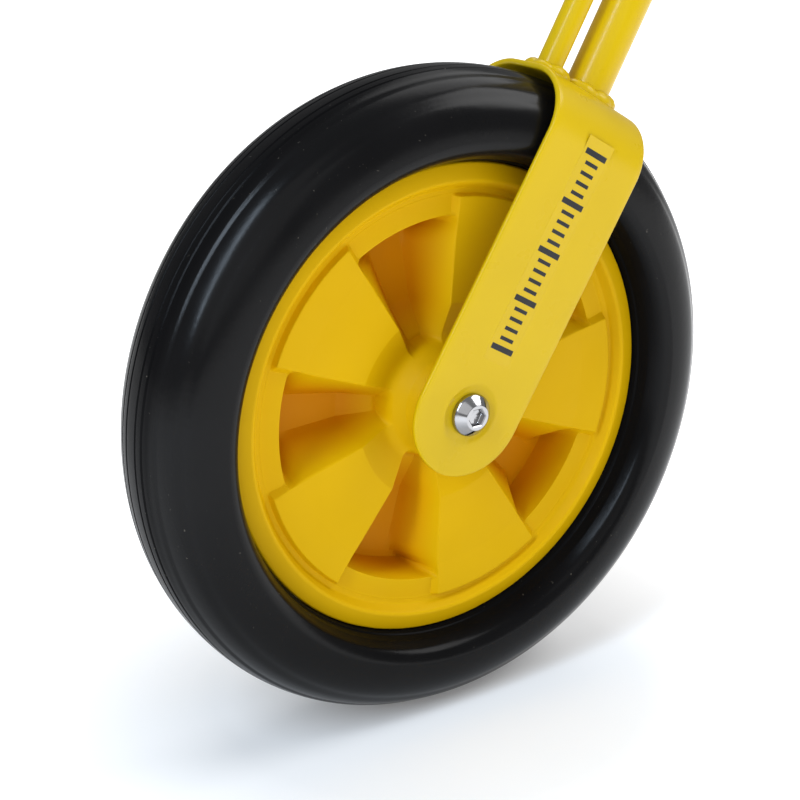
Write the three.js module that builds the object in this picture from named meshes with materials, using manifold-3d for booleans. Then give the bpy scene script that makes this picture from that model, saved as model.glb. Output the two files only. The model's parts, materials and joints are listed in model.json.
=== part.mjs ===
// Measuring wheel: a one metre wheel in a bent strip fork, with a tubular handle, a rod brake
// and a drum counter. Millimetres, +Z up, +Y along the axle towards the counter, +X towards
// the user. The origin is where the tyre touches the ground.
import * as THREE from "three";
import { mergeVertices } from "three/addons/utils/BufferGeometryUtils.js";
import Module from "manifold-3d";

const wasm = await Module();
wasm.setup();

// Driving dimensions
const WHEEL_TURN = 1000; // distance rolled in one turn
const WHEEL_R = WHEEL_TURN / (2 * Math.PI);
const LEAN = THREE.MathUtils.degToRad(30); // stem lean from upright
const GAP = 0.3; // clearance between touching pieces

const TYRE_HALF_WIDTH = 32.6;
const TYRE_SECTION_R = 0.2 * WHEEL_R;
const RIM_R = 116.7;
const RIM_HALF_WIDTH = 15.8;
const POCKETS = 5;
const POCKET_START = 33; // degrees from +X
const POCKET_FLOOR = 6.5;
const POCKET_IN_R = 31;
const POCKET_OUT_R = 91;
const POCKET_HALF_ANGLE = 16;

const AXLE_R = 6;
const HUB_HALF = 20;
const HUB_R = 20;
const BEARING = { inner: AXLE_R + GAP, outer: 14, width: 8, start: 11.5 };

const STRIP = 3; // fork strip thickness
const STRIP_HALF = 31.3; // fork strip half width
const LEG_OUT_LOW = 33; // leg's outer face at the axle
const LEG_OUT_HIGH = 37.6; // and where the arch starts
const ARCH_TOP = 162.5;
const ARCH_BEND_R = 29;
const ARCH_Z = ARCH_TOP - ARCH_BEND_R;
const LEG_SLOPE = (LEG_OUT_HIGH - LEG_OUT_LOW) / ARCH_Z;

const MAIN_X = 9.8; // main tube's place on the arch
const MAIN_R = 11.1;
const MAIN_WALL = 1.5;
const STEM_TOP = 900;
const STEM_BEND_R = 60;
const GRIP_TUBE = 135;
const BRAKE_X = -17.4; // brake tube's place on the arch
const BRAKE_R = 6.35;
const BRAKE_WALL = 1.5;
const BRAKE_TOP = 856;
const ROD_R = 3;
const ROD_TOP = 869.2;
const PLUG_R = 4.5;
const PIVOT_Z = 875;
const PIVOT_R = 2.5;

const GEAR_TEETH = 30;
const GEAR_R = 22.5; // pitch radius of both gears
const COUNTER_Z = 2 * GEAR_R; // counter shaft above the axle
const DRUM_R = 11.5;
const DRUM_PITCH = 7.6;
const DRUM_START = 44;
const DRUM_NAMES = ["thousand_metre", "hundred_metre", "ten_metre", "metre", "decimetre"];
const BOX_HALF = 19;
const BOX_WALL = 2.2;
const BOX_BACK = 41.3;
const BOX_END = 86;

const YELLOW_PAINT = { color: 0xdcb403, roughness: 0.32, metalness: 0 };
const YELLOW_PLASTIC = { color: 0xd9b400, roughness: 0.5, metalness: 0 };
const BLACK_RUBBER = { color: 0x1c1c1e, roughness: 0.7, metalness: 0 };
const BLACK_PLASTIC = { color: 0x232326, roughness: 0.45, metalness: 0 };
const WHITE_PLASTIC = { color: 0xe8e8e2, roughness: 0.4, metalness: 0 };
const CHROME = { color: 0xc8ccd0, roughness: 0.15, metalness: 1 };
const STEEL = { color: 0x9a9da2, roughness: 0.35, metalness: 1 };
const BRASS = { color: 0xb59345, roughness: 0.3, metalness: 1 };
const CLEAR = { color: 0xdfe8ea, roughness: 0.05, metalness: 0 };

const X = new THREE.Vector3(1, 0, 0);
const Y = new THREE.Vector3(0, 1, 0);
const Z = new THREE.Vector3(0, 0, 1);
const wheel = new THREE.Group();
wheel.position.z = WHEEL_R;
const stem = new THREE.Group(); // x fore and aft, z along the tubes
stem.position.z = WHEEL_R;
stem.rotation.y = LEAN;
const group = new THREE.Group();
group.add(wheel, stem);

// Solids from three.js geometry

function facingOut(geometry) {
  const index = geometry.index.array;
  const at = geometry.attributes.position;
  const [a, b, c] = [new THREE.Vector3(), new THREE.Vector3(), new THREE.Vector3()];
  let volume = 0;
  for (let i = 0; i < index.length; i += 3) {
    a.fromBufferAttribute(at, index[i]);
    b.fromBufferAttribute(at, index[i + 1]);
    c.fromBufferAttribute(at, index[i + 2]);
    volume += a.dot(b.cross(c));
  }
  if (volume < 0) index.reverse();
  return geometry;
}

function closed(geometry) {
  geometry.deleteAttribute("normal");
  geometry.deleteAttribute("uv");
  return facingOut(mergeVertices(geometry, 1e-3));
}

function solid(geometry) {
  return new wasm.Manifold(new wasm.Mesh({
    numProp: 3,
    vertProperties: new Float32Array(geometry.attributes.position.array),
    triVerts: new Uint32Array(geometry.index.array),
  }));
}

function geometryOf(body) {
  const mesh = body.getMesh();
  const geometry = new THREE.BufferGeometry();
  geometry.setAttribute("position", new THREE.BufferAttribute(mesh.vertProperties, 3));
  geometry.setIndex(new THREE.BufferAttribute(mesh.triVerts, 1));
  return mergeVertices(geometry, 1e-3);
}

function cut(geometry, ...tools) {
  return geometryOf(tools.reduce((body, tool) => body.subtract(solid(tool)), solid(geometry)));
}

function join(geometry, ...others) {
  return geometryOf(others.reduce((body, other) => body.add(solid(other)), solid(geometry)));
}

function common(geometry, other) {
  return geometryOf(solid(geometry).intersect(solid(other)));
}

// Turned about Y from [radius, y] pairs. A profile that is off the axis closes on itself.
function turned(pairs, segments = 24) {
  const points = pairs.map(([r, y]) => new THREE.Vector2(r, y));
  const onAxis = pairs[0][0] === 0 && pairs[pairs.length - 1][0] === 0;
  if (!onAxis) points.push(points[0].clone());
  return closed(new THREE.LatheGeometry(points, segments));
}

function ring(outer, inner, low, high, segments = 24) {
  return turned([[inner, low], [outer, low], [outer, high], [inner, high]], segments);
}

function disc(r, low, high, segments = 24) {
  return turned([[0, low], [r, low], [r, high], [0, high]], segments);
}

// A flat outline in X and Z, from y = low to y = high
function sidePlate(shape, low, high, curveSegments = 8) {
  const geometry = new THREE.ExtrudeGeometry(shape, {
    depth: high - low, bevelEnabled: false, curveSegments,
  });
  geometry.applyMatrix4(new THREE.Matrix4().makeBasis(X, Z, Y.clone().negate()));
  return closed(geometry.translate(0, high, 0));
}

function outline(pairs) {
  return new THREE.Shape(pairs.map(([x, y]) => new THREE.Vector2(x, y)));
}

function block(x0, x1, y0, y1, z0, z1) {
  const geometry = new THREE.BoxGeometry(x1 - x0, y1 - y0, z1 - z0);
  return closed(geometry.translate((x0 + x1) / 2, (y0 + y1) / 2, (z0 + z1) / 2));
}

function alongZ(geometry, x = 0, y = 0) {
  return geometry.rotateX(Math.PI / 2).translate(x, y, 0);
}

function add(parent, name, geometry, look) {
  const mesh = new THREE.Mesh(geometry, new THREE.MeshStandardMaterial(look));
  mesh.name = name;
  parent.add(mesh);
  return mesh;
}

// Wheel

function tyreProfile() {
  const power = 2 / 2.1;
  const centre = WHEEL_R - TYRE_SECTION_R;
  const side = [];
  for (let degrees = 0; degrees <= 90; degrees += 18) {
    const t = THREE.MathUtils.degToRad(degrees);
    side.push([
      centre + TYRE_SECTION_R * Math.cos(t) ** power,
      TYRE_HALF_WIDTH * Math.sin(t) ** power,
    ]);
  }
  side[0] = [WHEEL_R, 4];
  side.push([centre - 4.5, 29.5], [centre - 8.5, 23.5], [RIM_R + GAP, 16.6]);
  const mirrored = side.map(([r, y]) => [r, -y]).reverse();
  return [...side, ...mirrored];
}

function pocket(half, outer) {
  const [low, high] = [-half, half].map(THREE.MathUtils.degToRad);
  const shape = new THREE.Shape();
  shape.moveTo(POCKET_IN_R * Math.cos(low), POCKET_IN_R * Math.sin(low));
  shape.lineTo(outer * Math.cos(low), outer * Math.sin(low));
  shape.absarc(0, 0, outer, low, high, false);
  shape.lineTo(POCKET_IN_R * Math.cos(high), POCKET_IN_R * Math.sin(high));
  shape.absarc(0, 0, POCKET_IN_R, high, low, true);
  return shape;
}

// The web zigzags: pockets from the near side alternate with pockets from the far side.
function rim() {
  const face = [
    [9, 0], [9, BEARING.start - GAP], [BEARING.outer + GAP, BEARING.start - GAP],
    [BEARING.outer + GAP, HUB_HALF], [HUB_R, HUB_HALF], [31, 10], [57, 12.5], [98, 11],
    [104, 11], [111, RIM_HALF_WIDTH], [RIM_R, RIM_HALF_WIDTH], [RIM_R, 0],
  ];
  const back = face.slice(1, -1).map(([r, y]) => [r, -y]).reverse();
  let body = turned([...face, ...back], 50);
  const pitch = (2 * Math.PI) / POCKETS;
  const start = THREE.MathUtils.degToRad(POCKET_START);
  for (let i = 0; i < POCKETS; i += 1) {
    const near = sidePlate(pocket(POCKET_HALF_ANGLE, POCKET_OUT_R), -30, POCKET_FLOOR, 3);
    const far = sidePlate(pocket(POCKET_HALF_ANGLE + 0.5, POCKET_OUT_R), -POCKET_FLOOR, 30, 3);
    near.rotateY(-start - i * pitch);
    far.rotateY(-start - (i + 0.5) * pitch);
    body = cut(body, near, far);
  }
  return body;
}

function gear(low, high, bore, toothAngle) {
  const pitch = (2 * Math.PI) / GEAR_TEETH;
  const [root, tip] = [GEAR_R - 1.6, GEAR_R + 1.2];
  const shape = new THREE.Shape();
  const corners = [[root, -0.3], [tip, -0.11], [tip, 0.11], [root, 0.3]];
  const points = [];
  for (let i = 0; i < GEAR_TEETH; i += 1) {
    for (const [r, part] of corners) {
      const angle = toothAngle + (i + part) * pitch;
      points.push(new THREE.Vector2(r * Math.cos(angle), r * Math.sin(angle)));
    }
  }
  shape.setFromPoints(points);
  const hole = new THREE.Path();
  hole.absarc(0, 0, bore, 0, 2 * Math.PI, true);
  shape.holes.push(hole);
  return sidePlate(shape, low, high, 10);
}

add(wheel, "tyre", turned(tyreProfile(), 48), BLACK_RUBBER);
add(wheel, "rim", rim(), YELLOW_PLASTIC);
for (const [side, sign] of [["near", -1], ["far", 1]]) {
  const low = sign * BEARING.start;
  const high = sign * (BEARING.start + BEARING.width);
  const [from, to] = [Math.min(low, high), Math.max(low, high)];
  add(wheel, `bearing_outer_${side}`, ring(BEARING.outer, 12, from, to), STEEL);
  add(wheel, `bearing_balls_${side}`, ring(11.6, 9, from + 1.5, to - 1.5, 24), STEEL);
  add(wheel, `bearing_inner_${side}`, ring(8.7, BEARING.inner, from, to), STEEL);
}
add(wheel, "bearing_spacer", ring(8, AXLE_R + GAP, -11.2, 11.2, 24), STEEL);

// Axle

function hexPrism(acrossFlats, low, high) {
  const r = acrossFlats / Math.sqrt(3);
  const corners = [0, 1, 2, 3, 4, 5].map((i) => (i * Math.PI) / 3);
  return sidePlate(outline(corners.map((a) => [r * Math.cos(a), r * Math.sin(a)])), low, high);
}

const SEAT = LEG_OUT_LOW - 0.8; // recess floor around the axle on both legs
const HEAD = { r: 10.5, height: 6.6 };
const BEARING_END = BEARING.start + BEARING.width;

function axleBolt() {
  const under = -SEAT - GAP;
  const top = under - HEAD.height;
  const body = turned([
    [0, top], [HEAD.r - 4.5, top], [HEAD.r - 2, top + 1.4], [HEAD.r - 0.4, top + 3.6],
    [HEAD.r, under - 1.2], [HEAD.r, under], [AXLE_R, under], [AXLE_R, 46], [0, 46],
  ]);
  return cut(body, hexPrism(8, top - 1, top + 4));
}

add(stem, "axle_bolt", axleBolt(), CHROME);
add(stem, "axle_washer", ring(12, AXLE_R + GAP, SEAT + GAP, SEAT + 1.8), CHROME);
const nutBore = disc(AXLE_R + GAP, 30, 50);
add(stem, "lock_nut", cut(hexPrism(18, SEAT + 2.1, SEAT + 12.1), nutBore), CHROME);
const legInside = LEG_OUT_LOW - STRIP - 0.5;
add(stem, "axle_spacer_near", ring(9, AXLE_R + GAP, -legInside, -BEARING_END - GAP, 24), STEEL);
add(stem, "axle_spacer_far", ring(9, AXLE_R + GAP, BEARING_END + GAP, legInside, 24), STEEL);
add(stem, "hub_gear", gear(HUB_HALF + 1, HUB_HALF + 6, 13, Math.PI / 2), BLACK_PLASTIC);

// Fork

function stripOutline() {
  const out = (z) => LEG_OUT_LOW + LEG_SLOPE * z;
  const low = -STRIP_HALF - 1;
  const centre = LEG_OUT_HIGH - ARCH_BEND_R;
  const inner = ARCH_BEND_R - STRIP;
  const shape = new THREE.Shape();
  shape.moveTo(out(low), low);
  shape.lineTo(LEG_OUT_HIGH, ARCH_Z);
  shape.absarc(centre, ARCH_Z, ARCH_BEND_R, 0, Math.PI / 2, false);
  shape.absarc(-centre, ARCH_Z, ARCH_BEND_R, Math.PI / 2, Math.PI, false);
  shape.lineTo(-out(low), low);
  shape.lineTo(-out(low) + STRIP, low);
  shape.lineTo(-LEG_OUT_HIGH + STRIP, ARCH_Z);
  shape.absarc(-centre, ARCH_Z, inner, Math.PI, Math.PI / 2, true);
  shape.absarc(centre, ARCH_Z, inner, Math.PI / 2, 0, true);
  shape.lineTo(out(low) - STRIP, low);
  return shape;
}

function legOutline() {
  const shape = new THREE.Shape();
  shape.moveTo(STRIP_HALF, 0);
  shape.lineTo(STRIP_HALF, ARCH_TOP + 10);
  shape.lineTo(-STRIP_HALF, ARCH_TOP + 10);
  shape.absarc(0, 0, STRIP_HALF, Math.PI, 2 * Math.PI, false);
  return shape;
}

const EAR_SCREW_X = 24.5;

function fork() {
  const strip = new THREE.ExtrudeGeometry(stripOutline(), {
    depth: 2 * STRIP_HALF, bevelEnabled: false, curveSegments: 10,
  });
  strip.translate(0, 0, -STRIP_HALF);
  strip.applyMatrix4(new THREE.Matrix4().makeBasis(Y, Z, X));
  const body = common(closed(strip), sidePlate(legOutline(), -60, 60, 16));
  return cut(
    body,
    disc(AXLE_R + GAP, -60, 60),
    disc(13.75, -60, -SEAT),
    disc(13.75, SEAT, 60),
    disc(6, 0, 60, 24).translate(0, 0, COUNTER_Z),
    disc(2.2, 0, 60, 12).translate(EAR_SCREW_X, 0, COUNTER_Z),
    disc(2.2, 0, 60, 12).translate(-EAR_SCREW_X, 0, COUNTER_Z),
    alongZ(disc(BRAKE_R - BRAKE_WALL, 100, 200, 24), BRAKE_X),
  );
}

add(stem, "fork", fork(), YELLOW_PAINT);

// Stem tubes

class Stations extends THREE.Curve {
  constructor(stops) {
    super();
    this.stops = stops;
  }

  stop(u) {
    return this.stops[Math.round(u * (this.stops.length - 1))];
  }

  getPointAt(u) {
    return this.stop(u).point.clone();
  }

  getTangentAt(u) {
    return this.stop(u).tangent.clone();
  }
}

function tube(stops, r, wall, curveSegments = 12) {
  const section = new THREE.Shape();
  section.absarc(0, 0, r, 0, 2 * Math.PI, false);
  const bore = new THREE.Path();
  bore.absarc(0, 0, r - wall, 0, 2 * Math.PI, true);
  section.holes.push(bore);
  return closed(new THREE.ExtrudeGeometry(section, {
    steps: stops.length - 1, extrudePath: new Stations(stops), curveSegments,
  }));
}

const level = new THREE.Vector3(Math.cos(LEAN), 0, Math.sin(LEAN)); // world +X in the stem

function mainTubeStops() {
  const turn = Math.PI / 2 - LEAN;
  const stops = [{ point: new THREE.Vector3(MAIN_X, 0, ARCH_TOP + GAP), tangent: Z.clone() }];
  for (let i = 0; i <= 8; i += 1) {
    const angle = (turn * i) / 8;
    stops.push({
      point: new THREE.Vector3(
        MAIN_X + STEM_BEND_R * (1 - Math.cos(angle)), 0, STEM_TOP + STEM_BEND_R * Math.sin(angle),
      ),
      tangent: new THREE.Vector3(Math.sin(angle), 0, Math.cos(angle)),
    });
  }
  const last = stops[stops.length - 1].point;
  stops.push({ point: last.clone().addScaledVector(level, GRIP_TUBE), tangent: level.clone() });
  return stops;
}

const mainStops = mainTubeStops();
const gripStart = mainStops[mainStops.length - 2].point;
const pivotHole = disc(PIVOT_R + GAP, -60, 60, 16).translate(MAIN_X, 0, PIVOT_Z);
add(stem, "main_tube", cut(tube(mainStops, MAIN_R, MAIN_WALL), pivotHole), YELLOW_PAINT);

const brakeStops = [ARCH_TOP + GAP, BRAKE_TOP].map((z) => (
  { point: new THREE.Vector3(BRAKE_X, 0, z), tangent: Z.clone() }
));
add(stem, "brake_tube", tube(brakeStops, BRAKE_R, BRAKE_WALL, 10), YELLOW_PAINT);

function weld(tubeRadius, x) {
  const low = ARCH_TOP + GAP;
  const bead = turned([
    [tubeRadius + GAP, low], [tubeRadius + 3.4, low], [tubeRadius + 3, low + 1.6],
    [tubeRadius + 1.8, low + 3], [tubeRadius + GAP, low + 3.6],
  ], 24);
  return alongZ(bead, x);
}

add(stem, "weld_main", weld(MAIN_R, MAIN_X), YELLOW_PAINT);
add(stem, "weld_brake", weld(BRAKE_R, BRAKE_X), YELLOW_PAINT);

function tubeClip(low, high) {
  const half = 14.5;
  const shape = new THREE.Shape();
  shape.moveTo(BRAKE_X, -9.5);
  shape.lineTo(MAIN_X, -half);
  shape.absarc(MAIN_X, 0, half, -Math.PI / 2, Math.PI / 2, false);
  shape.lineTo(BRAKE_X, 9.5);
  shape.absarc(BRAKE_X, 0, 9.5, Math.PI / 2, (3 * Math.PI) / 2, false);
  for (const [x, r] of [[MAIN_X, MAIN_R + GAP], [BRAKE_X, BRAKE_R + GAP]]) {
    const hole = new THREE.Path();
    hole.absarc(x, 0, r, 0, 2 * Math.PI, true);
    shape.holes.push(hole);
  }
  const clip = new THREE.ExtrudeGeometry(shape, {
    depth: high - low, bevelEnabled: false, curveSegments: 10,
  });
  const screwHole = disc(2.3, -30, 30, 12).translate(-6.2, 0, (low + high) / 2);
  return cut(closed(clip.translate(0, 0, low)), screwHole);
}

for (const [name, z] of [["lower", 330], ["upper", 700]]) {
  add(stem, `tube_clip_${name}`, tubeClip(z - 11, z + 11), BLACK_PLASTIC);
  const screw = turned([
    [0, -17], [4, -17], [4, -14.8], [2, -14.8], [2, 14.5], [0, 14.5],
  ], 16);
  add(stem, `clip_screw_${name}`, screw.translate(-6.2, 0, z), STEEL);
}

// Handle

const handle = new THREE.Group(); // x along the grip
handle.position.copy(gripStart);
handle.rotation.y = -LEAN;
stem.add(handle);

function gripProfile() {
  const [start, end, valley, crest] = [8, GRIP_TUBE - 5, 14.3, 16];
  const outer = [];
  const ribs = 5;
  const pitch = (end - start - 10) / ribs;
  for (let i = 0; i < ribs; i += 1) {
    const from = start + 5 + i * pitch;
    outer.push([crest, from], [valley, from + 0.3 * pitch], [valley, from + 0.7 * pitch]);
  }
  return [[MAIN_R + GAP, start], [18, start], [18, start + 3], ...outer,
    [crest, end - 5], [crest, end], [MAIN_R + GAP, end]];
}

const alongGrip = (geometry) => geometry.rotateZ(-Math.PI / 2);
add(handle, "grip", alongGrip(turned(gripProfile(), 20)), BLACK_RUBBER);
const plug = MAIN_R - MAIN_WALL - GAP;
const capStart = GRIP_TUBE + GAP;
add(handle, "grip_end_cap", alongGrip(turned([
  [0, GRIP_TUBE - 15], [plug, GRIP_TUBE - 15], [plug, capStart], [16, capStart],
  [16, capStart + 3], [14.5, capStart + 4.5], [0, capStart + 4.5],
], 20)), BLACK_PLASTIC);

// Brake

const onArm = (along, across) => [
  MAIN_X + along * level.x - across * level.z,
  PIVOT_Z + along * level.z + across * level.x,
];
const LEVER_IN = 13.1;
const LEVER_OUT = 15.1;
const NOSE_HALF = 2.4;

function leverSide(low, high) {
  const shape = outline([
    [BRAKE_X - 4.6, 877], [BRAKE_X - 4.6, 870.2], [BRAKE_X + 4.4, 869], [MAIN_X - 2, 866],
    onArm(22, -8), onArm(120, -8), onArm(150, -13), onArm(153, -10), onArm(150, -3),
    onArm(120, 3), onArm(25, 6), [MAIN_X - 4, 884], [BRAKE_X + 5, 879],
  ]);
  const hole = new THREE.Path();
  hole.absarc(MAIN_X, PIVOT_Z, PIVOT_R + GAP, 0, 2 * Math.PI, true);
  shape.holes.push(hole);
  return sidePlate(shape, low, high, 8);
}

function brakeLever() {
  const web = outline([
    onArm(30, -8), onArm(120, -8), onArm(150, -13), onArm(153, -10),
    onArm(149, -10.5), onArm(119, -6), onArm(30, -6),
  ]);
  const nose = block(
    BRAKE_X - NOSE_HALF, BRAKE_X + NOSE_HALF, -LEVER_IN - 0.5, LEVER_IN + 0.5,
    ROD_TOP + GAP, ROD_TOP + 4,
  );
  return join(
    leverSide(-LEVER_OUT, -LEVER_IN),
    leverSide(LEVER_IN, LEVER_OUT),
    nose,
    sidePlate(web, -LEVER_IN - 0.5, LEVER_IN + 0.5),
  );
}

add(stem, "brake_lever", brakeLever(), BLACK_PLASTIC);
const collar = alongZ(ring(12.8, MAIN_R + GAP, PIVOT_Z - 10, PIVOT_Z + 10), MAIN_X);
add(stem, "lever_collar", cut(collar, pivotHole), STEEL);
const pin = turned([
  [0, -19.4], [4.5, -19.4], [4.5, -18.4], [PIVOT_R, -18.4], [PIVOT_R, 17.4], [0, 17.4],
], 16);
add(stem, "lever_pin", pin.translate(MAIN_X, 0, PIVOT_Z), CHROME);
const coil = ring(5, PIVOT_R + GAP, -18.1, -LEVER_OUT - GAP, 20);
add(stem, "lever_spring", coil.translate(MAIN_X, 0, PIVOT_Z), STEEL);
const rod = turned([
  [0, 173.3], [ROD_R, 173.3], [ROD_R, ROD_TOP - 4], [4, ROD_TOP - 4], [4, ROD_TOP],
  [0, ROD_TOP],
], 16);
add(stem, "brake_rod", alongZ(rod, BRAKE_X), CHROME);
add(stem, "brake_plug", alongZ(disc(PLUG_R, 162, 173, 20), BRAKE_X), BLACK_RUBBER);

// Counter, on the far leg

const counter = new THREE.Group();
counter.position.z = COUNTER_Z;
stem.add(counter);

function counterBase() {
  const body = join(
    block(-BOX_HALF, BOX_HALF, 33, BOX_BACK - GAP, -BOX_HALF, BOX_HALF),
    block(-EAR_SCREW_X - 5, EAR_SCREW_X + 5, 33, BOX_BACK - GAP, -6, 6),
  );
  const leg = block(-60, 60, -20, 0, -60, 60);
  leg.rotateX(-Math.atan(LEG_SLOPE));
  leg.translate(0, LEG_OUT_LOW + LEG_SLOPE * COUNTER_Z + GAP, 0);
  return cut(
    body,
    leg,
    disc(6, 20, 50, 24),
    disc(2.2, 20, 50, 12).translate(EAR_SCREW_X, 0, 0),
    disc(2.2, 20, 50, 12).translate(-EAR_SCREW_X, 0, 0),
    ...COVER_SCREWS.map(([x, z]) => disc(1.8, 30, 50, 12).translate(x, 0, z)),
  );
}

const COVER_SCREWS = [[13.2, 13.2], [-13.2, 13.2], [13.2, -13.2]];
const WINDOW = { half: 6, from: 43, to: 82.5 };
const RESET = { y: 62, z: -6, r: 4.5 };

function counterCover() {
  const inside = BOX_HALF - BOX_WALL;
  return cut(
    block(-BOX_HALF, BOX_HALF, BOX_BACK, BOX_END, -BOX_HALF, BOX_HALF),
    block(-inside, inside, BOX_BACK - 5, BOX_END - BOX_WALL, -inside, inside),
    block(-WINDOW.half, WINDOW.half, WINDOW.from, WINDOW.to, 0, 30),
    alongX(disc(RESET.r + GAP, 5, 40, 20)).translate(0, RESET.y, RESET.z),
    ...COVER_SCREWS.map(([x, z]) => disc(1.8, 60, 100, 12).translate(x, 0, z)),
  );
}

function alongX(geometry) {
  return geometry.rotateZ(-Math.PI / 2);
}

add(counter, "counter_base", counterBase(), BLACK_PLASTIC);
add(counter, "counter_cover", counterCover(), BLACK_PLASTIC);
add(counter, "counter_window", block(
  -WINDOW.half + GAP, WINDOW.half - GAP, WINDOW.from + GAP, WINDOW.to - GAP,
  BOX_HALF - 1.8, BOX_HALF - 0.2,
), CLEAR);
COVER_SCREWS.forEach(([x, z], i) => {
  const end = BOX_END + GAP;
  const screw = turned([
    [0, 37.5], [1.5, 37.5], [1.5, end], [2.9, end], [2.9, end + 1.8], [0, end + 1.8],
  ], 14);
  add(counter, `cover_screw_${i + 1}`, screw.translate(x, 0, z), STEEL);
});
for (const [side, sign] of [["front", -1], ["rear", 1]]) {
  const screw = turned([
    [0, 31], [1.9, 31], [1.9, BOX_BACK], [3.6, BOX_BACK], [3.6, BOX_BACK + 2.4],
    [0, BOX_BACK + 2.4],
  ], 14);
  add(counter, `base_screw_${side}`, screw.translate(sign * EAR_SCREW_X, 0, 0), STEEL);
}
add(counter, "counter_bush", ring(5.7, 3.2, 30.5, 40.9, 24), BRASS);

const halfTooth = Math.PI / GEAR_TEETH;
add(counter, "counter_pinion", gear(HUB_HALF + 1, HUB_HALF + 6, 3.3, halfTooth - Math.PI / 2),
  WHITE_PLASTIC);
add(counter, "counter_shaft", disc(3, HUB_HALF, BOX_END - BOX_WALL - GAP, 20), STEEL);
DRUM_NAMES.forEach((name, i) => {
  const low = DRUM_START + i * DRUM_PITCH;
  add(counter, `drum_${name}`, ring(DRUM_R, 3.3, low, low + DRUM_PITCH - 0.4, 30), WHITE_PLASTIC);
});

const CARRY = -11; // carry shaft's x and z from the drum shaft
add(counter, "carry_shaft",
  disc(1.2, BOX_BACK, BOX_END - BOX_WALL - GAP, 12).translate(CARRY, 0, CARRY), STEEL);
for (let i = 1; i < DRUM_NAMES.length; i += 1) {
  const middle = DRUM_START + i * DRUM_PITCH - 0.2;
  const pinion = ring(3.6, 1.5, middle - 2.5, middle + 2.5, 8);
  add(counter, `carry_pinion_${i}`, pinion.translate(CARRY, 0, CARRY), WHITE_PLASTIC);
}

const button = turned([
  [0, 14.8], [5.4, 14.8], [5.4, 16.3], [RESET.r, 16.3], [RESET.r, 25], [0, 25],
], 20);
add(counter, "reset_button", alongX(button).translate(0, RESET.y, RESET.z), {
  color: 0xb02018, roughness: 0.4, metalness: 0,
});

export default group;
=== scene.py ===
# Looks of the measuring wheel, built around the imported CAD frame. Metres, +Z up.
import json
import math

import bmesh
import bpy
import numpy as np
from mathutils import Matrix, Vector


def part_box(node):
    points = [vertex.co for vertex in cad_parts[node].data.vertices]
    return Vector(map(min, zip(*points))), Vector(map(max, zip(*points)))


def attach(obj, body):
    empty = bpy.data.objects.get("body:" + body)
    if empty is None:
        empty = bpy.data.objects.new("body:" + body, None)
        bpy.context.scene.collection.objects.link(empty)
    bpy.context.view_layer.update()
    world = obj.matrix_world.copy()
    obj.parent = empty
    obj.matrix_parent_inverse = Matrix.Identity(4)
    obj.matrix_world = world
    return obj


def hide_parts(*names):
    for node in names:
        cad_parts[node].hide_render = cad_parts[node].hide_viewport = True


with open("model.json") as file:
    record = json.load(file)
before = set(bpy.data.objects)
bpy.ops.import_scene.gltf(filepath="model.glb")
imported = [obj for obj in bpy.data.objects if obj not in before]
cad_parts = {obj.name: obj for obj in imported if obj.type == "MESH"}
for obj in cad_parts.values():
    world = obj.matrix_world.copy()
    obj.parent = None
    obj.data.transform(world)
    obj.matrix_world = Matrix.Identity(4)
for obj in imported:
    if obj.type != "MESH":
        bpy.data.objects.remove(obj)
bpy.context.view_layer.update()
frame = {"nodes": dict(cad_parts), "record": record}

MM = 0.001
TAU = 2 * math.pi
LEAN = math.radians(30)  # the stem's lean from upright

tyre_low, tyre_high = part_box("tyre")
WHEEL_R = (tyre_high.z - tyre_low.z) / 2
CENTRE = np.array([0.0, 0.0, tyre_low.z + WHEEL_R])
FORE = np.array([math.cos(LEAN), 0, -math.sin(LEAN)])
ACROSS = np.array([0.0, 1.0, 0.0])
STEM = np.array([math.sin(LEAN), 0, math.cos(LEAN)])


# Camera, floor and light

CAMERA_PLACE = (-2.748, -3.9015, 1.7517)  # from the wheel's centre, in wheel radii
CAMERA_LOOK = (0.52508, 0.77677, -0.34773)  # the direction it looks in
FLOOR_SIZE = 60  # metres


def aim(thing, target):
    back = thing.location - Vector(target)
    thing.rotation_mode = "QUATERNION"
    thing.rotation_quaternion = back.to_track_quat("Z", "Y")


def make_camera():
    data = bpy.data.cameras.new("camera")
    data.lens = 74.96
    data.sensor_width = 36
    camera = bpy.data.objects.new("camera", data)
    bpy.context.scene.collection.objects.link(camera)
    camera.location = Vector(CENTRE) + WHEEL_R * Vector(CAMERA_PLACE)
    aim(camera, camera.location + Vector(CAMERA_LOOK))
    bpy.context.scene.camera = camera


def area_light(name, place, target, size, watts, colour=(1, 1, 1)):
    data = bpy.data.lights.new(name, "AREA")
    data.shape = "RECTANGLE"
    data.size, data.size_y = size
    data.energy = watts
    data.color = colour
    light = bpy.data.objects.new(name, data)
    bpy.context.scene.collection.objects.link(light)
    light.location = place
    aim(light, target)


def make_studio():
    world = bpy.data.worlds.new("studio")
    world.use_nodes = True
    world.node_tree.nodes["Background"].inputs["Color"].default_value = (0.98, 0.99, 1, 1)
    world.node_tree.nodes["Background"].inputs["Strength"].default_value = 0.34
    bpy.context.scene.world = world
    bpy.context.scene.view_settings.view_transform = "Standard"
    area_light("key", (1.5, -0.7, 1.7), (0, 0, 0.16), (1.1, 1.1), 20)
    area_light("back", (1.2, 0.7, 2.0), (0, 0, 0.1), (1.5, 1.5), 14)
    area_light("front", (-1.3, -2.1, 1.7), (0, 0, 0.2), (3.0, 2.2), 14.5)
    area_light("side", (-1.35, -0.55, 1.35), (0, 0, 0.2), (0.28, 1.3), 24, (0.70, 0.84, 1))
    floor = mesh_object("floor", grid_points(FLOOR_SIZE, 2), grid_faces(2, 2))
    floor.data.materials.append(floor_material())


# Mesh building

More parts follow.
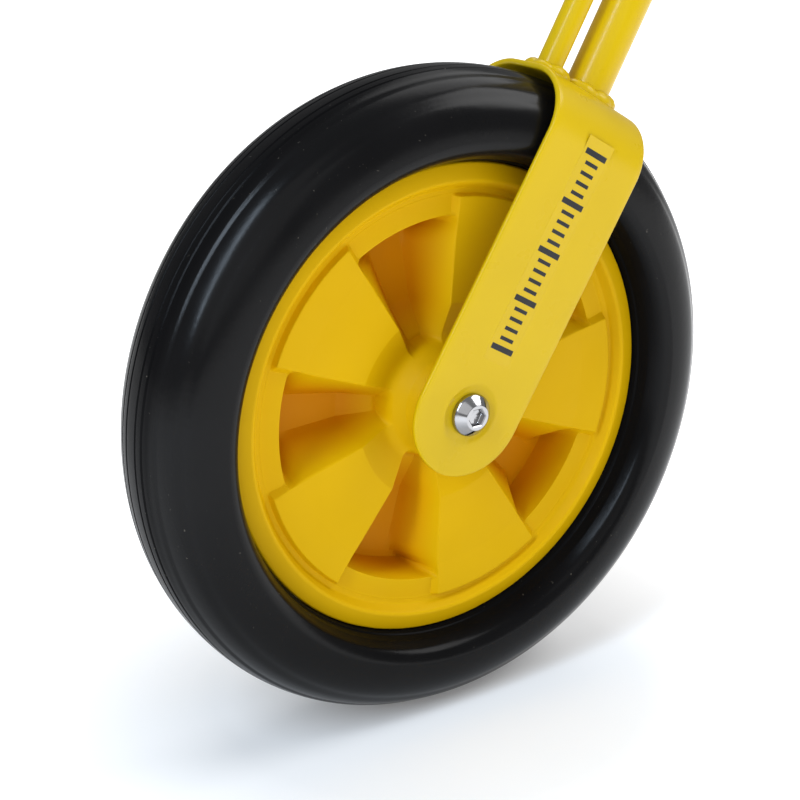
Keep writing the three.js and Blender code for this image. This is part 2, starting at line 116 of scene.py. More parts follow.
def mesh_object(name, points, faces, smooth_angle=40):
    mesh = bpy.data.meshes.new(name)
    mesh.from_pydata([tuple(p) for p in points], [], faces)
    mesh.validate()
    mesh.update()
    thing = bpy.data.objects.new(name, mesh)
    bpy.context.scene.collection.objects.link(thing)
    shade(thing, smooth_angle)
    return thing


def shade(thing, angle):
    mesh = thing.data
    mesh.polygons.foreach_set("use_smooth", [True] * len(mesh.polygons))
    mesh.set_sharp_from_angle(angle=math.radians(angle))


def grid_points(width, count):
    spots = np.linspace(-width / 2, width / 2, count)
    return [(x, y, 0) for y in spots for x in spots]


def grid_faces(rows, columns, wrap_rows=False, wrap_columns=False):
    faces = []
    for i in range(rows if wrap_rows else rows - 1):
        for j in range(columns if wrap_columns else columns - 1):
            k, m = (i + 1) % rows, (j + 1) % columns
            faces.append((i * columns + j, i * columns + m, k * columns + m, k * columns + j))
    return faces


def face_out(thing):
    shape = bmesh.new()
    shape.from_mesh(thing.data)
    bmesh.ops.remove_doubles(shape, verts=shape.verts, dist=1e-7)
    bmesh.ops.dissolve_degenerate(shape, edges=shape.edges, dist=1e-7)
    bmesh.ops.recalc_face_normals(shape, faces=shape.faces)
    shape.to_mesh(thing.data)
    shape.free()


def lofted(name, rings, smooth_angle=40, capped=True):
    """Closed rings of points joined one to the next; the ends are capped, or joined together."""
    rings = [np.asarray(ring) for ring in rings]
    size = len(rings[0])
    faces = grid_faces(len(rings), size, wrap_rows=not capped, wrap_columns=True)
    if capped:
        faces.append(tuple(range(size)))
        faces.append(tuple(range(len(rings) * size - size, len(rings) * size)))
    thing = mesh_object(name, np.concatenate(rings), faces, smooth_angle)
    face_out(thing)
    shade(thing, smooth_angle)
    return thing


def filleted(corners, steps=5):
    """A closed outline from (u, v, radius) corners, in millimetres."""
    out = []
    count = len(corners)
    for i, (u, v, radius) in enumerate(corners):
        here = np.array([u, v], float)
        before = np.array(corners[i - 1][:2], float) - here
        after = np.array(corners[(i + 1) % count][:2], float) - here
        if radius <= 0:
            out.append(here)
            continue
        before_len, after_len = np.linalg.norm(before), np.linalg.norm(after)
        before, after = before / before_len, after / after_len
        half = math.acos(np.clip(before @ after, -1, 1)) / 2
        reach = min(radius / math.tan(half), 0.49 * before_len, 0.49 * after_len)
        radius = reach * math.tan(half)
        middle = (before + after) / np.linalg.norm(before + after)
        centre = here + middle * radius / math.sin(half)
        start, end = here + before * reach - centre, here + after * reach - centre
        turn = math.atan2(start[0] * end[1] - start[1] * end[0], start @ end)
        for part in np.linspace(0, 1, steps):
            c, s = math.cos(turn * part), math.sin(turn * part)
            out.append(centre + [c * start[0] - s * start[1], s * start[0] + c * start[1]])
    return np.array(out)


def in_stem(x, y, z):
    """A point or array of points in the stem's own millimetres, as metres in the frame."""
    x, y, z = (np.asarray(v, float)[..., None] * MM for v in (x, y, z))
    return CENTRE + x * FORE + y * ACROSS + z * STEM


def turned(name, outline, middle, axis, side, segments=96, smooth_angle=40):
    """Turns a closed (radius, along) outline in millimetres about an axis through middle.
    The outline may be a function of the angle."""
    axis, side = np.array(axis, float), np.array(side, float)
    other = np.cross(axis, side)
    rings = []
    for angle in np.arange(segments) * TAU / segments:
        out = math.cos(angle) * side + math.sin(angle) * other
        loop = outline(angle) if callable(outline) else outline
        r, along = loop[:, :1] * MM, loop[:, 1:] * MM
        rings.append(np.asarray(middle) + r * out + along * axis)
    return lofted(name, rings, smooth_angle, capped=False)


def swept(name, path, tangents, section, side, smooth_angle=40, capped=True):
    """Sweeps a closed (u, v) section along a path; u is along side, v is across both."""
    side = np.array(side, float)
    rings = []
    for point, tangent in zip(path, tangents):
        other = np.cross(tangent, side)
        other /= np.linalg.norm(other)
        rings.append(point + section[:, :1] * MM * side + section[:, 1:] * MM * other)
    return lofted(name, rings, smooth_angle, capped)


def circle(radius, count=48):
    angles = np.arange(count) * TAU / count
    return np.stack([radius * np.cos(angles), radius * np.sin(angles)], 1)


# Materials

class Nodes:
    """A short way to write a material's nodes."""

    def __init__(self, name):
        self.material = bpy.data.materials.new(name)
        self.material.use_nodes = True
        self.tree = self.material.node_tree
        self.shader = self.tree.nodes["Principled BSDF"]
        self.place = self.tree.nodes.new("ShaderNodeTexCoord").outputs["Object"]

    def make(self, kind, inputs, **settings):
        node = self.tree.nodes.new(kind)
        for key, value in settings.items():
            setattr(node, key, value)
        for key, value in inputs.items():
            if isinstance(value, bpy.types.NodeSocket):
                self.tree.links.new(value, node.inputs[key])
            else:
                node.inputs[key].default_value = value
        return node

    def noise(self, scale, detail=3, roughness=0.5):
        inputs = {"Vector": self.place, "Scale": scale, "Detail": detail, "Roughness": roughness}
        return self.make("ShaderNodeTexNoise", inputs).outputs["Fac"]

    def ranged(self, value, low, high, to_low, to_high):
        inputs = {"Value": value, "From Min": low, "From Max": high,
                  "To Min": to_low, "To Max": to_high}
        return self.make("ShaderNodeMapRange", inputs).outputs["Result"]

    def mixed(self, factor, first, second):
        node = self.make("ShaderNodeMix", {}, data_type="RGBA")
        colours = {"Factor": factor, "A": first, "B": second}
        for socket in node.inputs:
            if not socket.enabled or socket.name not in colours:
                continue
            value = colours[socket.name]
            if isinstance(value, bpy.types.NodeSocket):
                self.tree.links.new(value, socket)
            else:
                socket.default_value = value
        return next(s for s in node.outputs if s.enabled)

    def bump(self, height, strength, distance):
        inputs = {"Height": height, "Strength": strength, "Distance": distance}
        normal = self.make("ShaderNodeBump", inputs).outputs["Normal"]
        self.tree.links.new(normal, self.shader.inputs["Normal"])

    def put(self, **values):
        for key, value in values.items():
            name = key.replace("_", " ")
            if isinstance(value, bpy.types.NodeSocket):
                self.tree.links.new(value, self.shader.inputs[name])
            else:
                self.shader.inputs[name].default_value = value


def rgba(colour):
    return (*colour, 1)


FLOOR_NEAR, FLOOR_FAR = 0.11, 0.4  # where the floor's glow starts to rise, and where it is full


def floor_material():
    """White sweep that glows more the further it is from the wheel, so it stays paper white."""
    nodes = Nodes("white_floor")
    reach = nodes.make("ShaderNodeVectorMath", {0: nodes.place}, operation="LENGTH").outputs["Value"]
    glow = nodes.ranged(reach, FLOOR_NEAR, FLOOR_FAR, 0.15, 1.0)
    tone = nodes.ranged(nodes.noise(6), 0.3, 0.7, 0, 1)
    base = nodes.mixed(tone, rgba((0.82, 0.82, 0.82)), rgba((0.8, 0.8, 0.8)))
    nodes.put(Base_Color=base, Roughness=0.8, Emission_Color=(1, 1, 1, 1), Emission_Strength=glow)
    return nodes.material


def paint_material():
    """Glossy yellow powder coat with a faint orange peel."""
    nodes = Nodes("yellow_powder_coat")
    tone = nodes.ranged(nodes.noise(18, 4), 0.35, 0.65, 0, 1)
    base = nodes.mixed(tone, rgba((0.56, 0.375, 0.001)), rgba((0.59, 0.40, 0.002)))
    nodes.put(
        Base_Color=base, Roughness=nodes.ranged(nodes.noise(70), 0.3, 0.7, 0.26, 0.36),
        Specular_IOR_Level=0.16, Coat_Weight=0.09, Coat_Roughness=0.1,
    )
    nodes.bump(nodes.noise(520, 2), 0.12, 0.0004)
    return nodes.material


def moulding_material():
    """Satin yellow plastic, with painted shade: darker and more orange where the moulding is hollow,
    standing in for the shade and yellow bounce light in the rim's pockets.
    """
    nodes = Nodes("yellow_moulding")
    tone = nodes.ranged(nodes.noise(9, 4), 0.35, 0.65, 0, 1)
    base = nodes.mixed(tone, rgba((0.63, 0.37, 0.0)), rgba((0.67, 0.395, 0.0005)))
    depth = nodes.make("ShaderNodeAttribute", {}, attribute_name="depth").outputs["Fac"]
    painted_pocket_shade = nodes.ranged(depth, 2, 19, 0, 1)  # millimetres below the rim's raised sectors, as the mask for the painted pocket shade
    # painted shade: the deeper the pocket, the darker and more orange, in place of the pockets' shade
    # and bounce light
    base = nodes.mixed(painted_pocket_shade, base, rgba((0.58, 0.225, 0.0)))
    nodes.put(
        Base_Color=base, Roughness=nodes.ranged(nodes.noise(60), 0.3, 0.7, 0.42, 0.54),
        Specular_IOR_Level=0.07,
    )
    nodes.bump(nodes.noise(900, 2), 0.06, 0.0003)
    return nodes.material


def tyre_material():
    """Black rubber with pale dust specks and a soft sheen."""
    nodes = Nodes("tyre_rubber")
    tone = nodes.ranged(nodes.noise(7, 5, 0.6), 0.35, 0.7, 0, 1)
    rubber = nodes.mixed(tone, rgba((0.0028, 0.0027, 0.0029)), rgba((0.0052, 0.005, 0.0053)))
    specks = nodes.ranged(nodes.noise(420, 2, 0.6), 0.72, 0.78, 0, 0.35)
    patches = nodes.ranged(nodes.noise(11, 2), 0.45, 0.62, 0, 1)
    dust = nodes.make("ShaderNodeMath", {0: specks, 1: patches}, operation="MULTIPLY")
    base = nodes.mixed(dust.outputs[0], rubber, rgba((0.30, 0.27, 0.22)))
    offset = nodes.make(
        "ShaderNodeVectorMath", {0: nodes.place, 1: tuple(CENTRE)}, operation="SUBTRACT")
    flat = nodes.make(
        "ShaderNodeVectorMath", {0: offset.outputs["Vector"], 1: (1, 0, 1)}, operation="MULTIPLY")
    length = nodes.make("ShaderNodeVectorMath", {0: flat.outputs["Vector"]}, operation="LENGTH")
    reach = length.outputs["Value"]  # metres from the axle's line
    bead = nodes.ranged(reach, 0.119, 0.125, 0.02, 0.12)  # dull where the sidewall meets the rim
    tread = nodes.ranged(reach, 0.1562, 0.1576, 1, 0.3)  # and where the tread is worn
    shine = nodes.make("ShaderNodeMath", {0: bead, 1: tread}, operation="MULTIPLY").outputs[0]
    nodes.put(
        Base_Color=base, Roughness=nodes.ranged(nodes.noise(26, 4), 0.3, 0.7, 0.18, 0.27),
        Specular_IOR_Level=shine,
    )
    nodes.bump(nodes.noise(300, 4), 0.12, 0.0004)
    return nodes.material


def rough_material(name, colour, other, roughness, grain, depth, metallic=0.0, specular=0.5):
    """A moulded or turned surface: two tones, uneven gloss and a fine grain."""
    nodes = Nodes(name)
    tone = nodes.ranged(nodes.noise(40, 4), 0.35, 0.65, 0, 1)
    low, high = roughness
    nodes.put(
        Base_Color=nodes.mixed(tone, rgba(colour), rgba(other)),
        Roughness=nodes.ranged(nodes.noise(150), 0.3, 0.7, low, high),
        Metallic=metallic, Specular_IOR_Level=specular,
    )
    nodes.bump(nodes.noise(grain, 3), depth, 0.0003)
    return nodes.material


def clear_material():
    nodes = Nodes("clear_window")
    nodes.put(
        Base_Color=(0.95, 0.97, 0.98, 1), Transmission_Weight=1.0, IOR=1.49,
        Roughness=nodes.ranged(nodes.noise(90), 0.3, 0.7, 0.02, 0.06),
    )
    return nodes.material


make_camera()
make_studio()

PAINT = paint_material()
MOULDING = moulding_material()
TYRE = tyre_material()
RUBBER = rough_material(
    "grip_rubber", (0.013, 0.013, 0.014), (0.021, 0.021, 0.022), (0.5, 0.68), 700, 0.35)
BLACK = rough_material(
    "black_plastic", (0.016, 0.016, 0.018), (0.022, 0.022, 0.024), (0.38, 0.52), 1400, 0.25)
WHITE = rough_material(
    "white_plastic", (0.74, 0.74, 0.70), (0.79, 0.79, 0.75), (0.3, 0.4), 900, 0.05)
CHROME = rough_material(
    "chrome_plate", (0.42, 0.42, 0.43), (0.34, 0.34, 0.35), (0.06, 0.18), 260, 0.05, 1.0)
STEEL = rough_material(
    "turned_steel", (0.36, 0.36, 0.37), (0.44, 0.44, 0.45), (0.28, 0.42), 800, 0.2, 1.0)
BRASS = rough_material(
    "turned_brass", (0.46, 0.30, 0.09), (0.53, 0.36, 0.12), (0.25, 0.36), 800, 0.15, 1.0)
RED = rough_material(
    "red_plastic", (0.42, 0.014, 0.01), (0.48, 0.018, 0.012), (0.3, 0.4), 900, 0.05)
INK = rough_material(
    "dark_ink", (0.012, 0.012, 0.014), (0.018, 0.018, 0.02), (0.4, 0.55), 900, 0.1, specular=0.25)
CLEAR = clear_material()
FILM = rough_material(
    "label_film", (0.56, 0.378, 0.002), (0.58, 0.39, 0.003), (0.14, 0.2), 300, 0.02, specular=0.24)
LOOKS = {
    "yellow_paint": PAINT, "yellow_plastic": MOULDING, "tyre_rubber": TYRE,
    "black_rubber": RUBBER, "black_plastic": BLACK, "white_plastic": WHITE, "chrome": CHROME,
    "steel": STEEL, "brass": BRASS, "red_plastic": RED, "clear_plastic": CLEAR,
}


def piece(thing, body, slot, *nodes):
    thing.data.materials.clear()
    thing.data.materials.append(LOOKS[slot])
    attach(thing, body)
    if nodes:
        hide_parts(*nodes)
    return thing


# CAD nodes that keep their shape: material, soft edges

EDGE = {"counter_cover": 1.4, "counter_base": 0.8, "grip_end_cap": 0.6, "brake_lever": 0.5}
slots = {row["node"]: row["material_slot"] for row in frame["record"]["subparts"]}
for name, node in frame["nodes"].items():
    node.data.materials.clear()
    node.data.materials.append(LOOKS[slots[name]])
    bevel = node.modifiers.new("soft_edges", "BEVEL")
    bevel.width = EDGE.get(name, 0.25) * MM
    bevel.segments = 3
    bevel.limit_method = "ANGLE"
    bevel.angle_limit = math.radians(35)
    bevel.harden_normals = True
    shade(node, 35)


# Tyre

SQUARENESS = 2.3  # of the tyre's section; 2 is an ellipse
TREAD_GROOVES = (4.2, 9.1)  # from the middle plane
GROOVE_DEPTH = 0.7
CREASE = 16.0  # where the tread steps down to the rounded shoulder
SHOULDER_END = 26.5
STEP_DOWN = 0.6  # depth of the step at the crease, and of the groove at the shoulder's end
RIM_EDGE = (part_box("rim")[1].z - CENTRE[2]) / MM


def make_tyre():
    half, section = (tyre_high.y - tyre_low.y) / 2 / MM, 0.2 * WHEEL_R / MM
    centre = WHEEL_R / MM - section
    power = 2 / SQUARENESS
    steps = np.radians(np.linspace(1, 90, 60))
    r = centre + section * np.cos(steps) ** power
    y = half * np.sin(steps) ** power
    for groove in TREAD_GROOVES:
        near = groove + np.array([-0.75, -0.3, 0.3, 0.75])
        r, y = np.concatenate([r, np.interp(near, y, r)]), np.concatenate([y, near])
        order = np.argsort(y)
        r, y = r[order], y[order]
    for groove in TREAD_GROOVES:
        r = r - GROOVE_DEPTH * np.clip(1.6 - np.abs(y - groove) / 0.45, 0, 1)
    r = r - STEP_DOWN * eased((y - CREASE) / 0.8) * eased((SHOULDER_END - y) / 9)
    r = r - STEP_DOWN * np.exp(-((y - SHOULDER_END) / 1.6) ** 2)
    sidewall = filleted([
        (centre, half, 0), (centre - 5.2, 29.6, 8), (centre - 8.2, 23.4, 5),
        (RIM_EDGE + 1.6, 18.2, 1.5), (RIM_EDGE + 0.9, 17.4, 0.6), (RIM_EDGE + 0.35, 15.2, 0),
    ], 6)[1:]
    outline = np.concatenate([np.stack([r, y], 1), sidewall])
    mirrored = (outline * [1, -1])[::-1]
    tyre = turned("tyre_skin", np.concatenate([outline, mirrored]), CENTRE, ACROSS, (1, 0, 0),
                  256, 50)
    piece(tyre, "wheel", "tyre_rubber", "tyre")


# Rim

POCKETS = 5
POCKET_MIDDLE = 33  # degrees
HALF_PERIOD = 180 / POCKETS
WALL_TOP = 18.4  # degrees from a pocket's middle to its wall's top edge
WALL_FOOT = 6.5  # and to its foot, nearer the hub than FOOT_TURNS
STEP = 1.6  # degrees across the wall out on the ledge, where it is a plain step
WEB = 4.6  # least wall between the two sides' pockets
RIM_HALF = 15.0  # height of the rim's edge over the middle plane
LEDGE = 11.8  # height of the ring between the sectors and the lip, and past each pocket's end
# (radius, height, corner radius) from the bore outwards, over a raised sector
HUB_CORNERS = [(14.4, 20, 0), (20.4, 20, 1.4), (23.5, 13.5, 4), (30, 5.6, 6)]
SECTOR_END = 101.5
SECTOR_CORNERS = [(49, 13.0, 4), (84, 13.8, 3), (100.4, 15.3, 0.7), (SECTOR_END, LEDGE, 0.6)]
LIP_CORNERS = [(104.2, LEDGE, 1.6), (107.4, 17.4, 2.2)]
LEDGE_EDGE = 91.6  # where the ledge drops into a pocket
POCKET_FOOT = 87.5
HUB_R, HUB_RISE = 31, 3  # where a pocket's floor ends, and the width of its slope up to the hub
FOOT_TURNS = 80  # radius from which a wall's foot draws out towards the ledge's step


def eased(value):
    """0 to 1 with rounded ends and a straight middle."""
    value = np.clip(value, 0, 1)
    end = 0.08
    low = value ** 2 / (2 * end)
    high = 1 - end - (1 - value) ** 2 / (2 * end)
    middle = value - end / 2
    return np.where(value < end, low, np.where(value > 1 - end, high, middle)) / (1 - end)


def rim_face():
    """Half the rim's section over a sector, as (radius, height) rows, close-set where it bends."""
    corners = HUB_CORNERS + SECTOR_CORNERS + LIP_CORNERS
    corners += [(RIM_EDGE - 0.4, RIM_HALF, 1.8), (RIM_EDGE, RIM_HALF - 1.8, 1.0), (RIM_EDGE, 0, 0)]
    face = filleted(corners, 7)[:-1]
    extra = np.concatenate([
        np.linspace(HUB_R, 54, 10), np.linspace(58, 82, 7), np.linspace(POCKET_FOOT - 1, 93, 14),
    ])
    order = np.argsort(face[:, 0], kind="stable")
    heights = np.interp(extra, face[order, 0], face[order, 1])
    face = np.concatenate([face, np.stack([extra, heights], 1)])
    inner = face[face[:, 0] < RIM_EDGE - 1]
    inner = inner[np.lexsort((-inner[:, 1], inner[:, 0]))]
    return np.concatenate([inner, face[face[:, 0] >= RIM_EDGE - 1]])


def pocket_height(r, sector):
    """Height of a pocket's profile; negative is past the middle plane."""
    floor = WEB - sector
    rise = eased((r - POCKET_FOOT) / (LEDGE_EDGE - POCKET_FOOT))
    dipped = floor + (LEDGE - floor) * rise
    hub = np.clip((HUB_R - r) / HUB_RISE, 0, 1)
    dipped = dipped + (sector - dipped) * eased(hub)
    return np.where(r > SECTOR_END, sector, np.where(r > LEDGE_EDGE, LEDGE, dipped))


def make_rim():
    face = rim_face()
    r, sector = face[:, 0], face[:, 1]
    dipped = pocket_height(r, sector)
    foot = np.interp(r, [FOOT_TURNS, LEDGE_EDGE + 0.8], [WALL_FOOT, WALL_TOP - STEP])
    zone = np.concatenate([
        np.linspace(WALL_FOOT - 0.6, WALL_TOP - STEP - 0.4, 13),
        np.linspace(WALL_TOP - STEP, WALL_TOP + 0.2, 6),
    ])
    stops = np.concatenate([[0, 2.5], zone, HALF_PERIOD - zone, [HALF_PERIOD - 2.5]])
    stops = np.sort(np.concatenate([stops, [HALF_PERIOD], -stops[1:]]))

    def share(offset):
        return eased((WALL_TOP - offset) / (WALL_TOP - foot))

    rings = []
    for pocket in range(POCKETS):
        for stop in stops:
            angle = math.radians(POCKET_MIDDLE + pocket * 2 * HALF_PERIOD + stop)
            out = np.array([math.cos(angle), 0, math.sin(angle)])
            near = sector + (dipped - sector) * share(abs(stop))
            far = sector + (dipped - sector) * share(HALF_PERIOD - abs(stop))
            radius = np.concatenate([r, r[::-1]])[:, None] * MM
            height = np.concatenate([far, -near[::-1]])[:, None] * MM
            rings.append(CENTRE + radius * out + height * ACROSS)
    rim = lofted("rim_moulding", rings, 32, capped=False)
    # depth below the sector face, which drives the painted shade in the pockets (moulding_material)
    spots = np.array([v.co for v in rim.data.vertices]) - CENTRE
    facing = np.sign([v.normal.y for v in rim.data.vertices])
    face_at = np.interp(np.hypot(spots[:, 0], spots[:, 2]) / MM, r, sector)
    depth = rim.data.attributes.new("depth", "FLOAT", "POINT")
    depth.data.foreach_set("value", (face_at - facing * spots[:, 1] / MM).astype(np.float32))
    piece(rim, "wheel", "yellow_plastic", "rim")


# Fork

STRIP = 3.0
STRIP_HALF = 31.3
LEG_LOW, LEG_HIGH = 33.0, 37.6  # outer face from the middle plane, at the axle and at the arch
ARCH_TOP, ARCH_BEND = 162.5, 29.0
ARCH_Z = ARCH_TOP - ARCH_BEND
RECESS_R, RECESS_DEPTH = 13.75, 0.8


def fork_path():
    """The strip's middle line from the near leg's foot over the arch, in the stem's y and z."""
    middle = STRIP / 2
    flat = LEG_HIGH - ARCH_BEND
    slope = (LEG_HIGH - LEG_LOW) / ARCH_Z
    foot = np.linspace(0, math.pi / 2, 22)
    low = STRIP_HALF * -np.cos(foot)
    leg = np.concatenate([low[1:], np.linspace(0, ARCH_Z, 90)[1:]])
    near = [(-(LEG_LOW + slope * z) + middle, z) for z in leg]
    bend = [
        (-flat - (ARCH_BEND - middle) * math.cos(a), ARCH_Z + (ARCH_BEND - middle) * math.sin(a))
        for a in np.radians(np.linspace(4, 90, 22))
    ]
    top = [(y, ARCH_TOP - middle) for y in np.linspace(-flat, 0, 5)[1:]]
    half = np.array(near + bend + top)
    return np.concatenate([half, (half * [-1, 1])[::-1][1:]])


def strip_section(half_width):
    """A strip's rounded cross-section, (across, through), as a closed loop."""
    edge = min(1.2, 0.45 * half_width)
    across = np.concatenate([
        [-1, -0.9], np.linspace(-0.8, 0.8, 57), [0.9, 1],
    ]) * (half_width - edge)
    turn = np.radians(np.linspace(90, -90, 7))[1:-1]
    corner_u, corner_v = half_width - edge + edge * np.cos(turn), (STRIP / 2) * np.sin(turn)
    face = np.stack([across, np.full(len(across), STRIP / 2)], 1)
    right = np.stack([corner_u, corner_v], 1)
    return np.concatenate([face, right, -face, -right])


def make_fork():
    path = fork_path()
    step = np.gradient(path, axis=0)
    step /= np.linalg.norm(step, axis=1)[:, None]
    rings = []
    for (y, z), (dy, dz) in zip(path, step):
        width = STRIP_HALF
        if z < 0:
            width = math.sqrt(max(STRIP_HALF ** 2 - z ** 2, 1.0))
        section = strip_section(width)
        x, through = section[:, 0], section[:, 1].copy()
        near_axle = np.hypot(x, z)
        if z < ARCH_Z:
            dish = np.clip((RECESS_R + 0.9 - near_axle) / 1.6, 0, 1)
            lip = np.exp(-((near_axle - RECESS_R - 1.6) / 0.9) ** 2)
            outer = through > 0
            through = np.where(outer, through - RECESS_DEPTH * dish ** 2 * (3 - 2 * dish) + 0.18 * lip,
                               through)
        rings.append(in_stem(x, y - dz * through, z + dy * through))
    fork = lofted("fork_strip", rings, 50)
    piece(fork, "frame", "yellow_paint", "fork")


# Tubes on the arch

MAIN_X, MAIN_R = 9.8, 11.1
BRAKE_X, BRAKE_R = -17.4, 6.35
BRAKE_TOP = 856
STEM_TOP, STEM_BEND_R, GRIP_TUBE = 900, 60, 135


def arch_height(y):
    """Top of the fork's arch at a place across it."""
    flat = LEG_HIGH - ARCH_BEND
    over = np.clip(np.abs(y) - flat, 0, ARCH_BEND)
    return ARCH_Z + np.sqrt(ARCH_BEND ** 2 - over ** 2)


def make_tubes():
    stops = [(MAIN_X, ARCH_TOP - 0.6, 0.0), (MAIN_X, ARCH_TOP + 30, 0.0)]
    for turn in np.linspace(0, math.pi / 2 - LEAN, 25):
        stops.append((
            MAIN_X + STEM_BEND_R * (1 - math.cos(turn)), STEM_TOP + STEM_BEND_R * math.sin(turn), turn,
        ))
    x, z, turn = stops[-1]
    stops.append((x + GRIP_TUBE * math.sin(turn), z + GRIP_TUBE * math.cos(turn), turn))
    path = [in_stem(x, 0, z) for x, z, _ in stops]
    tangents = [FORE * math.sin(turn) + STEM * math.cos(turn) for _, _, turn in stops]
    tube = swept("main_tube_skin", path, tangents, circle(MAIN_R, 64), ACROSS)
    piece(tube, "frame", "yellow_paint", "main_tube")
    wall = filleted([
        (BRAKE_R - 1.5, ARCH_TOP - 0.6, 0), (BRAKE_R, ARCH_TOP - 0.6, 0),
        (BRAKE_R, BRAKE_TOP, 0.5), (BRAKE_R - 1.5, BRAKE_TOP, 0.5),
    ])
    tube = turned("brake_tube_skin", wall, in_stem(BRAKE_X, 0, 0), STEM, FORE, 48)
    piece(tube, "frame", "yellow_paint", "brake_tube")


ROOT = 1.5  # how far a weld goes down into the arch
POOL_R = 4.2


def make_weld(name, x, tube_r, pools, node, seed):
    """A hand-laid bead: overlapping round pools, under the same paint as the tube."""
    rng = np.random.default_rng(seed)
    sizes = rng.uniform(0.75, 1.2, pools)
    section = np.linspace(0, TAU, 14, endpoint=False)
    rings = []
    for angle in np.linspace(0, TAU, 20 * pools, endpoint=False):
        spot = angle / TAU * pools
        size = sizes[int(spot) % pools] * (1 - spot % 1) + sizes[int(spot + 1) % pools] * (spot % 1)
        radius = POOL_R * size * (0.88 + 0.15 * abs(math.sin(math.pi * spot)))
        reach = tube_r + 0.3 + 1.2 * radius * np.cos(section)
        lift = np.maximum(1.1 * radius * np.sin(section), -ROOT)
        px, py = x + reach * math.cos(angle), reach * math.sin(angle)
        rings.append(in_stem(px, py, arch_height(py) - 0.2 + lift))
    bead = lofted(name, rings, 60, capped=False)
    piece(bead, "frame", "yellow_paint", node)


# Axle screw, with its hexagon socket

def make_bolt():
    seat = LEG_LOW - RECESS_DEPTH
    dome = filleted([
        (0, 3.0, 0), (5.6, 6.6, 0), (6.2, 6.6, 0.8), (10.5, 2.6, 5), (10.5, 0.5, 0.6), (10.2, 0, 0.2),
        (6, 0, 0), (6, -77, 0), (5, -78.4, 0), (0, -78.4, 0),
    ], 8)

    def outline(angle):
        flat = (math.degrees(angle) + 30) % 60 - 30
        hexagon = 4.0 / math.cos(math.radians(flat))
        socket = [(0, 2.6), (hexagon - 0.25, 3.2), (hexagon, 3.5), (hexagon, 6.1),
                  (hexagon + 0.45, 6.6)]
        return np.concatenate([socket, dome[1:]])

    bolt = turned("axle_screw", outline, in_stem(0, -seat, 0), -ACROSS, FORE, 120, 35)
    piece(bolt, "frame", "chrome", "axle_bolt")


# Handle

GRIP_FROM = 8


def grip_start():
    turn = math.pi / 2 - LEAN
    return in_stem(
        MAIN_X + STEM_BEND_R * (1 - math.cos(turn)), 0, STEM_TOP + STEM_BEND_R * math.sin(turn))


def make_grip():
    end = GRIP_TUBE - 5
    along = np.linspace(GRIP_FROM + 6, end - 4, 420)
    waves = 14.9 + 0.9 * np.cos((along - GRIP_FROM - 6) / 22.4 * TAU)
    ribs = 0.32 * np.clip(1.4 * np.cos(along / 2.6 * TAU), -1, 1)
    outline = np.concatenate([
        filleted([(11.2, GRIP_FROM, 0), (17.6, GRIP_FROM, 1.2), (17.6, GRIP_FROM + 4, 1.6)], 6)[1:],
        np.stack([waves + ribs, along], 1), [(15.6, end), (11.2, end), (11.2, GRIP_FROM)],
    ])
    grip = turned("rubber_grip", outline, grip_start(), (1, 0, 0), (0, 0, 1), 96, 50)
    piece(grip, "frame", "black_rubber", "grip")
    cap_end = GRIP_TUBE + 4.8
    outline = filleted([
        (0, end, 0), (16, end, 0.8), (16, cap_end - 1.5, 2.5), (14.5, cap_end, 1.0),
        (5, cap_end, 0.6), (4.2, cap_end - 0.8, 0.4), (0, cap_end - 0.8, 0),
    ], 6)
    cap = turned("grip_cap", outline, grip_start(), (1, 0, 0), (0, 0, 1), 96, 50)
    piece(cap, "frame", "black_plastic", "grip_end_cap")


def make_lever_spring():
    pivot = in_stem(MAIN_X, 0, 875)
    turns, wire, coil_r = 3.0, 0.38, 3.75
    angles = np.linspace(0, turns * TAU, 150)
    path = [
        pivot + MM * (coil_r * (math.cos(a) * FORE + math.sin(a) * STEM)
                      - (15.8 + a / TAU * 0.78) * ACROSS) for a in angles
    ]
    tangents = [(-math.sin(a) * FORE + math.cos(a) * STEM) for a in angles]
    spring = swept("lever_spring_coil", path, tangents, circle(wire, 10), ACROSS, 60)
    piece(spring, "frame", "steel", "lever_spring")


# Printed scale on the near leg

TICKS = 21
TICK_GAP = 5
FIRST_TICK = 34


def leg_plate(x0, x1, z0, z1, lift, depth):
    """Corners of a thin plate on the near leg's outer face."""
    slope = (LEG_HIGH - LEG_LOW) / ARCH_Z
    corners = []
    for out in (lift - depth, lift):
        for x, z in ((x0, z0), (x1, z0), (x1, z1), (x0, z1)):
            corners.append(in_stem(x, -(LEG_LOW + slope * z + out), z))
    return corners


PLATE_FACES = [(0, 1, 2, 3), (4, 5, 6, 7), (0, 1, 5, 4), (1, 2, 6, 5), (2, 3, 7, 6), (3, 0, 4, 7)]


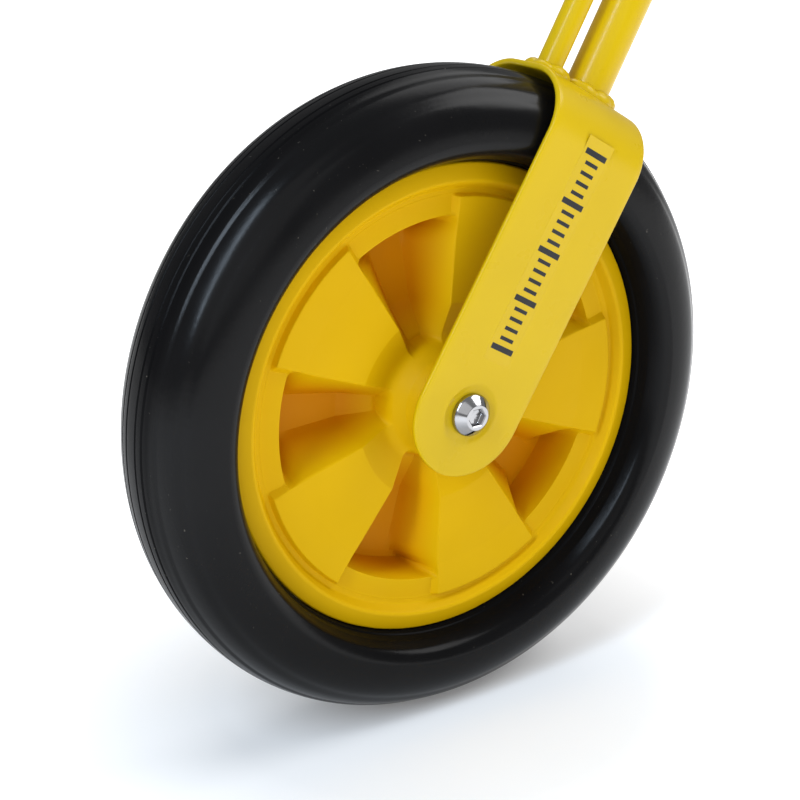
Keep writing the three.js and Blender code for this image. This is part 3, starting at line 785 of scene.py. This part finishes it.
def make_leg_scale():
    points, faces = [], []
    for i in range(TICKS):
        z = FIRST_TICK + TICK_GAP * i
        half, thick = (7.0, 1.4) if i % 5 == 0 else (4.2, 0.9)
        faces += [tuple(k + len(points) for k in face) for face in PLATE_FACES]
        points += leg_plate(-half, half, z - thick, z + thick, 0.10, 0.08)
    scale = mesh_object("leg_scale", points, faces, 30)
    face_out(scale)
    piece(scale, "frame", "black_plastic")
    scale.data.materials[0] = INK
    film = mesh_object("leg_label_film", leg_plate(-8.6, 8.6, 27, 141, 0.04, 0.03), PLATE_FACES, 30)
    face_out(film)
    piece(film, "frame", "yellow_paint")
    film.data.materials[0] = FILM


# Digits on the counter's drums

DRUM_R = 11.5
COUNTER_Z = 45


def digit_points(text):
    """A digit's mesh, centred, as points in millimetres and faces."""
    curve = bpy.data.curves.new("digit", "FONT")
    curve.body = text
    curve.size = 7.4
    curve.extrude = 0.04
    curve.resolution_u = 3
    holder = bpy.data.objects.new("digit", curve)
    bpy.context.scene.collection.objects.link(holder)
    bpy.context.view_layer.update()
    mesh = bpy.data.meshes.new_from_object(
        holder.evaluated_get(bpy.context.evaluated_depsgraph_get()))
    points = np.array([v.co for v in mesh.vertices])
    points[:, :2] -= (points[:, :2].min(0) + points[:, :2].max(0)) / 2
    faces = [tuple(p.vertices) for p in mesh.polygons]
    bpy.data.objects.remove(holder)
    bpy.data.meshes.remove(mesh)
    return points, faces


def make_digits():
    shapes = [digit_points(str(i)) for i in range(10)]
    for place in ("decimetre", "metre", "ten_metre", "hundred_metre", "thousand_metre"):
        low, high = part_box(f"drum_{place}")
        middle = (low.y + high.y) / 2
        points, faces = [], []
        for digit, (shape, shape_faces) in enumerate(shapes):
            faces += [tuple(k + len(points) for k in face) for face in shape_faces]
            turn = -TAU * digit / 10 - shape[:, 1] / DRUM_R
            reach = DRUM_R + 0.06 + shape[:, 2]
            x, z = reach * np.sin(turn), COUNTER_Z + reach * np.cos(turn)
            points += list(in_stem(x, middle / MM + shape[:, 0], z))
        digits = mesh_object(f"digits_{place}", points, faces, 30)
        body = "counter_drive" if place == "decimetre" else f"{place}_drum"
        piece(digits, body, "black_plastic")
        digits.data.materials[0] = INK


make_tyre()
make_rim()
make_fork()
make_tubes()
make_weld("weld_main_bead", MAIN_X, MAIN_R, 10, "weld_main", 4)
make_weld("weld_brake_bead", BRAKE_X, BRAKE_R, 6, "weld_brake", 7)
make_bolt()
make_grip()
make_lever_spring()
make_leg_scale()
make_digits()
